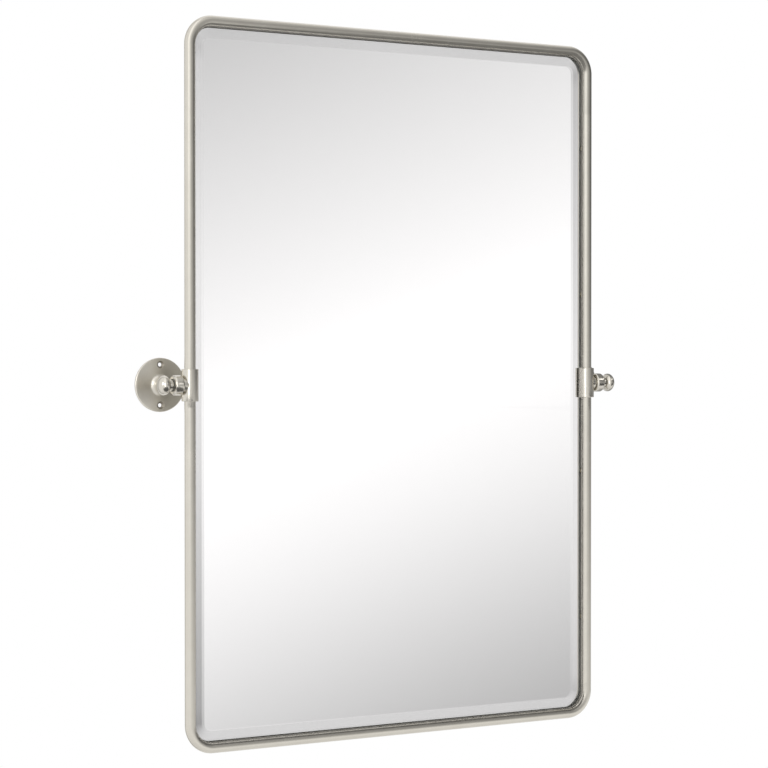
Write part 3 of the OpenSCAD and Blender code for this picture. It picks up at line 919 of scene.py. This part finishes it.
# ---------------------------------------------------------------------------------------------
# The tent that the mirror shows, measured from the image of the eye in the glass, in metres: a
# bright band that leans across it, greyer above and below. Wide of the view it is an even light
# grey.
MIRRORED_EYE = (-1.4548, 2.43, 0.0332)
VIEW_TURN = 30.06
VIEW_HALF_WIDTH = 12
VIEW_HALF_HEIGHT = 15
LEAN_PERIOD = 120
LEAN_HEIGHT = 8.1
OVER_BAND = (-12.9, -0.55)
UNDER_BAND = (0.6, 14.1)
GREY_OVER = 0.44
GREY_UNDER = 0.34
WIDE_FADE = 10
WIDE_GREY = 0.72
BAND_LEVEL = 1.18

tree = tent("tent_for_the_glass", "transmission")
turn, rise = direction(tree, MIRRORED_EYE)
aside = maths(tree, "SUBTRACT", turn, VIEW_TURN)
swing = maths(tree, "SINE", maths(tree, "MULTIPLY", aside, math.radians(360 / LEAN_PERIOD)))
band = maths(tree, "SUBTRACT", maths(tree, "MULTIPLY", swing, LEAN_HEIGHT), rise)
gleam = maths(tree, "MULTIPLY", ramp(tree, band, *OVER_BAND, GREY_OVER, 1, soft=False),
              ramp(tree, band, *UNDER_BAND, 1, GREY_UNDER))
wide = maths(tree, "MAXIMUM",
             maths(tree, "SUBTRACT", maths(tree, "ABSOLUTE", aside), VIEW_HALF_WIDTH),
             maths(tree, "SUBTRACT", maths(tree, "ABSOLUTE", rise), VIEW_HALF_HEIGHT))
gleam = maths(tree, "MAXIMUM", gleam, ramp(tree, wide, 0, WIDE_FADE, 0, WIDE_GREY))
glow(tree, maths(tree, "MULTIPLY", gleam, BAND_LEVEL))

# ---------------------------------------------------------------------------------------------
# The tent that the metal shows: white and a little greyer low down, with a brighter window on the
# left, a grey door behind the wall, and on the right a dark screen that stands from just below the
# horizon to well above it and thins out upwards.
TENT_LEVEL = 1.07
LOW_DOWN = (-60, -20)
LOW_GREY = 0.88
SCREEN_NEAR = (-30, 14)
SCREEN_NEAR_SHARE = 0.6
SCREEN_FAR = (14, 60)
SCREEN_FAR_SHARE = 0.4
SCREEN_END = (120, 170)
SCREEN_END_LEAN = 0.9
SCREEN_FOOT = (-25, 8)
SCREEN_HEAD = (25, 62)
SCREEN_HEAD_SHARE = 0.45
SCREEN_DEPTH = 0.91
WINDOW_TURN = -45
WINDOW_SIDE = (8, 22)
WINDOW_SILL = (-6, 4)
WINDOW_UPPER_PANE = (6, 8.5)
UPPER_PANE_SHARE = 2.0
WINDOW_GAIN = 0.25
DOOR_TURN = -150
DOOR_SIDE = (6, 20)
DOOR_DEPTH = 0.45

tree = tent("tent_for_the_metal", "glossy")
turn, rise = direction(tree, (0, 0, 0))
screen = maths(tree, "ADD", ramp(tree, turn, *SCREEN_NEAR, 0, SCREEN_NEAR_SHARE),
               ramp(tree, turn, *SCREEN_FAR, 0, SCREEN_FAR_SHARE))
round_back = maths(tree, "ADD", turn, maths(tree, "MULTIPLY", rise, SCREEN_END_LEAN))
screen = maths(tree, "MULTIPLY", screen, ramp(tree, round_back, *SCREEN_END, 1, 0))
screen = maths(tree, "MULTIPLY", screen, ramp(tree, rise, *SCREEN_FOOT, 0, 1))
screen = maths(tree, "MULTIPLY", screen, ramp(tree, rise, *SCREEN_HEAD, 1, SCREEN_HEAD_SHARE))
base = maths(tree, "MULTIPLY", ramp(tree, rise, *LOW_DOWN, LOW_GREY, 1), TENT_LEVEL)
base = maths(tree, "SUBTRACT", base, maths(tree, "MULTIPLY", screen, SCREEN_DEPTH))
off = maths(tree, "ABSOLUTE", maths(tree, "SUBTRACT", turn, WINDOW_TURN))
window = maths(tree, "MULTIPLY", ramp(tree, off, *WINDOW_SIDE, 1, 0),
               ramp(tree, rise, *WINDOW_SILL, 0, 1))
window = maths(tree, "MULTIPLY", window,
               ramp(tree, rise, *WINDOW_UPPER_PANE, 1, UPPER_PANE_SHARE))
off = maths(tree, "ABSOLUTE", maths(tree, "SUBTRACT", turn, DOOR_TURN))
door = maths(tree, "MULTIPLY", ramp(tree, off, *DOOR_SIDE, 1, 0), DOOR_DEPTH)
base = maths(tree, "SUBTRACT", base, door)
glow(tree, maths(tree, "ADD", base, maths(tree, "MULTIPLY", window, WINDOW_GAIN)))

# ---------------------------------------------------------------------------------------------
# Dark flags near the object: level cards that only the metal shows, and each from one side only.
# A shelf under the upper tube fades towards the left, a strip is over the lower tube, and there
# are cards below and above the pivots.
FLAG_WEST_LEVEL = 0.75

# Sizes in millimetres. The cloth is full dark from full_from to east, and thins out over the last
# part of its length towards the room, called soft, and to the right.
for name, height, (west, east), (south, north), seen_from_above, level, full_from, soft in (
        ("flag_shelf_near", 365, (-270, 470), (-160, -61), True, 0.24, -269, 1),
        ("flag_shelf_far", 365, (-270, 800), (-560, -160), True, 0.25, 160, 300),
        ("flag_low", -410, (-270, 400), (-88, -61), False, 0.15, -269, 1),
        ("flag_below_left", -28, (-383, -285), (-150, -66), True, 0.14, -382, 1),
        ("flag_below_right", -40, (328, 640), (-460, -104), True, 0.12, 329, 180),
        ("flag_under_right", -45, (337, 560), (-80, 60), True, 0.4, 338, 30),
        ("flag_above_right", 60, (330, 560), (-95, 60), False, 0.28, 331, 1)):
    corners = [(west, south), (east, south), (east, north), (west, north)]
    cloth, tree = bare_material(name)
    flag = mesh_piece(name, [(x, y, height) for x, y in corners], [(0, 1, 2, 3)], [cloth])
    seen_only_by(flag, "glossy")
    facing = add(tree, "ShaderNodeNewGeometry")
    parts = add(tree, "ShaderNodeSeparateXYZ", {0: facing.outputs["True Normal"]})
    cover = maths(tree, "GREATER_THAN" if seen_from_above else "LESS_THAN", parts.outputs[2])
    place = add(tree, "ShaderNodeTexCoord")
    parts = add(tree, "ShaderNodeSeparateXYZ", {0: place.outputs["Object"]}).outputs
    cover = maths(tree, "MULTIPLY", cover,
                  ramp(tree, parts[1], south * MM, (south + soft) * MM, 0, 1))
    cover = maths(tree, "MULTIPLY", cover,
                  ramp(tree, parts[0], (east - soft) * MM, east * MM, 1, 0))
    clear = add(tree, "ShaderNodeBsdfTransparent")
    dark = add(tree, "ShaderNodeEmission", {
        "Strength": ramp(tree, parts[0], west * MM, full_from * MM, FLAG_WEST_LEVEL, level)})
    surface = add(tree, "ShaderNodeMixShader", {0: cover, 1: clear.outputs[0],
                                                2: dark.outputs[0]})
    add(tree, "ShaderNodeOutputMaterial", {"Surface": surface.outputs[0]})

# ---------------------------------------------------------------------------------------------
# The floor. Pale paint well below the mirror, which goes over into white light between the two
# distances of the fade, in metres, so that it has no horizon.
FLOOR_LEVEL = -1500
FLOOR_REACH = 30000
FLOOR_FADE = (1.5, 5.0)

floor = mesh_piece("floor", [(x * FLOOR_REACH, y * FLOOR_REACH, FLOOR_LEVEL) for x, y in (
    (-1, -1), (1, -1), (1, 1), (-1, 1))], [(0, 1, 2, 3)], [])
pale_floor, tree = bare_material("pale_studio_floor")
paint = add(tree, "ShaderNodeBsdfDiffuse", {"Color": linear("#EFEFED")})
white = add(tree, "ShaderNodeEmission", {"Strength": 1.0})
place = add(tree, "ShaderNodeTexCoord")
flat = add(tree, "ShaderNodeVectorMath", {0: place.outputs["Object"], 1: (1, 1, 0)},
           operation="MULTIPLY")
reach = add(tree, "ShaderNodeVectorMath", {0: flat.outputs[0]}, operation="LENGTH")
fade = ramp(tree, reach.outputs["Value"], *FLOOR_FADE, 0, 1)
surface = add(tree, "ShaderNodeMixShader", {0: fade, 1: paint.outputs[0], 2: white.outputs[0]})
add(tree, "ShaderNodeOutputMaterial", {"Surface": surface.outputs[0]})
floor.data.materials.append(pale_floor)
floor.visible_glossy = floor.visible_transmission = False

# ---------------------------------------------------------------------------------------------
# The lamps. Four soft boxes light the matt surfaces, and four lamps that only the turned brass of
# one side or of both shows draw bright lines on its curves. Places and sizes in metres.
LAMP_DISTANCE = 2.5
LAMP_CENTRE = {"left": -0.33, "right": 0.34, "both": 0}


def lamp(name, place, heading, wide, tall, watts):
    """A rectangular lamp at place that shines against its heading."""
    light = bpy.data.lights.new(name, "AREA")
    light.shape = "RECTANGLE"
    light.size, light.size_y, light.energy = wide, tall, watts
    made = bpy.data.objects.new(name, light)
    made.location = place
    made.rotation_euler = (-heading).to_track_quat("-Z", "Y").to_euler()
    made.visible_transmission = False
    scene.collection.objects.link(made)
    return made


for name, place, size, watts in (("softbox_left", (-2.6, -2.8, 1.6), 1.6, 42),
                                 ("softbox_right", (2.4, -2.6, 1.2), 1.4, 18),
                                 ("softbox_top", (0.0, -0.6, 2.8), 2.0, 26),
                                 ("softbox_wall", (-0.9, 2.2, 0.4), 1.8, 21)):
    lamp(name, place, Vector(place), size, size, watts).visible_glossy = False

turned_brass = {"left": bpy.data.collections.new("turned_brass_left"),
                "right": bpy.data.collections.new("turned_brass_right"),
                "both": bpy.data.collections.new("turned_brass")}
for piece in scene.objects:
    if piece.get("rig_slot") == "turned_nickel":
        turned_brass["both"].objects.link(piece)
        if not piece.name.endswith("collar"):
            turned_brass[piece.name.split("_")[0]].objects.link(piece)
# Each is given by its direction from the pivots, in turn and rise.
for name, which, turn, rise, wide, tall, watts in (
        ("strip_tall", "both", -45, 2, 0.45, 1.4, 5.0),
        ("strip_left", "left", 25, 17, 0.6, 0.5, 1.2),
        ("strip_far_left", "left", -75, 15, 1.1, 0.8, 8.0),
        ("strip_right", "right", 42, 34, 1.6, 0.3, 4.6)):
    start = Vector((LAMP_CENTRE[which], PIVOT_DEPTH * MM, 0))
    turn, rise = math.radians(turn), math.radians(rise)
    heading = Vector((math.sin(turn) * math.cos(rise), -math.cos(turn) * math.cos(rise),
                      math.sin(rise)))
    made = lamp(name, start + heading * LAMP_DISTANCE, heading, wide, tall, watts)
    made.visible_diffuse = made.visible_camera = False
    made.light_linking.receiver_collection = turned_brass[which]
